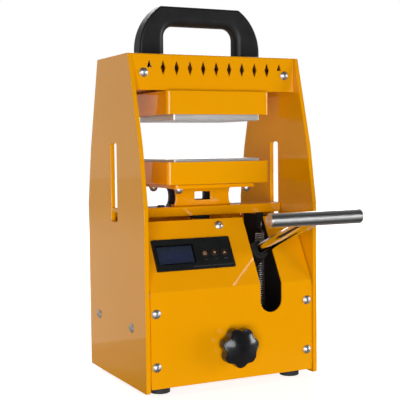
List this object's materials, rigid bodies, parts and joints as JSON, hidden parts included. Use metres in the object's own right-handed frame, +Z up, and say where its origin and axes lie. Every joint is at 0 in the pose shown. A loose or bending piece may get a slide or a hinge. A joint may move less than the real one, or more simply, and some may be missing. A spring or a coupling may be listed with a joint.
{
  "type": "manual hydraulic heat press",
  "caption": "Tabletop heat press: plate frame, jack-raised lower heated platen, fixed upper platen, T-handled pump lever, release knob, small control panel and a carrying handle.",
  "frame": {"origin": "middle of the whole object's footprint, lever handle included, on the surface it stands on", "axes": "+X to the right as seen from the front, +Y to the back, +Z up"},
  "size_m": [0.2052, 0.2526, 0.398],
  "materials": {
    "orange_paint": "glossy powder coat",
    "black_paint": "satin",
    "zinc_steel": "bright zinc",
    "brushed": "brushed",
    "polished": "polished",
    "platen_aluminium": "ground",
    "jack_paint": "painted casting",
    "black_plastic": "satin",
    "gloss_black": "glossy",
    "key_plastic": "glossy",
    "foot_rubber": "matt",
    "display_glass": "tinted",
    "insulation": "fibre board",
    "circuit_board": "solder resist"
  },
  "bodies": {
    "frame": {"base_plate": "orange_paint", "left_side_plate": "orange_paint", "right_side_plate": "orange_paint", "top_beam": "orange_paint", "mounting_brackets": "orange_paint", "top_cover": "orange_paint", "carry_handle": "black_plastic", "handle_bolts": "zinc_steel", "sheet_screws": "zinc_steel", "front_panel": "orange_paint", "rear_panel": "orange_paint", "wiring_guard": "black_paint", "rubber_feet": "foot_rubber", "foot_screws": "zinc_steel", "control_bezel": "gloss_black", "display_window": "display_glass", "control_board": "circuit_board", "power_inlet": "black_plastic", "jack_base": "jack_paint", "jack_bolts": "zinc_steel", "jack_cylinder": "black_paint", "jack_gland_nut": "black_paint", "pump_cylinder": "zinc_steel", "fulcrum_bracket": "jack_paint", "lever_pin": "zinc_steel", "upper_insulators": "insulation", "upper_heater_cover": "orange_paint", "upper_platen": "platen_aluminium", "upper_cartridge_heaters": "zinc_steel", "upper_temperature_probe": "zinc_steel", "upper_platen_bolts": "zinc_steel", "lower_spring_anchors": "black_paint", "left_return_spring": "zinc_steel", "right_return_spring": "zinc_steel"},
    "carriage": {"jack_ram": "polished", "ram_saddle": "black_paint", "carriage_plate": "orange_paint", "cable_grommets": "foot_rubber", "pedestal_front": "orange_paint", "pedestal_rear": "black_paint", "lower_mount_plate": "orange_paint", "lower_insulators": "insulation", "lower_heater_cover": "orange_paint", "lower_platen": "platen_aluminium", "lower_cartridge_heaters": "zinc_steel", "lower_temperature_probe": "zinc_steel", "lower_platen_bolts": "zinc_steel", "upper_spring_anchors": "black_paint"},
    "lever": {"lever_socket": "black_paint", "lever_arm": "polished", "lever_crossbar": "brushed", "plunger_pin": "zinc_steel"},
    "plunger": {"pump_plunger": "polished"},
    "valve": {"valve_knob": "gloss_black", "valve_stem": "zinc_steel"},
    "menu_button": {"menu_key": "key_plastic"},
    "down_button": {"down_key": "key_plastic"},
    "up_button": {"up_key": "key_plastic"},
    "rocker": {"power_rocker": "gloss_black"}
  },
  "joints": [
    {"name": "carriage_slide", "type": "slide", "parent": "frame", "child": "carriage", "axis": [0, 0, 1], "range_m": [0, 0.04], "deforming": ["left_return_spring", "right_return_spring"]},
    {"name": "lever_hinge", "type": "hinge", "parent": "frame", "child": "lever", "pos_m": [0.044, 0.0395, 0.119], "axis": [-1, 0, 0], "range_deg": [-44.5, 36.5]},
    {"name": "plunger_slide", "type": "slide", "parent": "frame", "child": "plunger", "axis": [0, 0, 1], "range_m": [-0.01449, 0.01192]},
    {"name": "valve_hinge", "type": "hinge", "parent": "frame", "child": "valve", "pos_m": [0, -0.0355, 0.043], "axis": [0, -1, 0], "range_deg": [0, 360]},
    {"name": "menu_key_slide", "type": "slide", "parent": "frame", "child": "menu_button", "axis": [0, 0.8726, -0.4885], "range_m": [0, 0.0005], "stiffness_N_per_m": 600},
    {"name": "down_key_slide", "type": "slide", "parent": "frame", "child": "down_button", "axis": [0, 0.8726, -0.4885], "range_m": [0, 0.0005], "stiffness_N_per_m": 600},
    {"name": "up_key_slide", "type": "slide", "parent": "frame", "child": "up_button", "axis": [0, 0.8726, -0.4885], "range_m": [0, 0.0005], "stiffness_N_per_m": 600},
    {"name": "rocker_hinge", "type": "hinge", "parent": "frame", "child": "rocker", "pos_m": [-0.058, 0.1241, 0.073], "axis": [1, 0, 0], "range_deg": [0, 14]}
  ],
  "couplings": [
    {"joint": "plunger_slide", "follows": "lever_hinge", "m_per_rad": 0.0184}
  ]
}
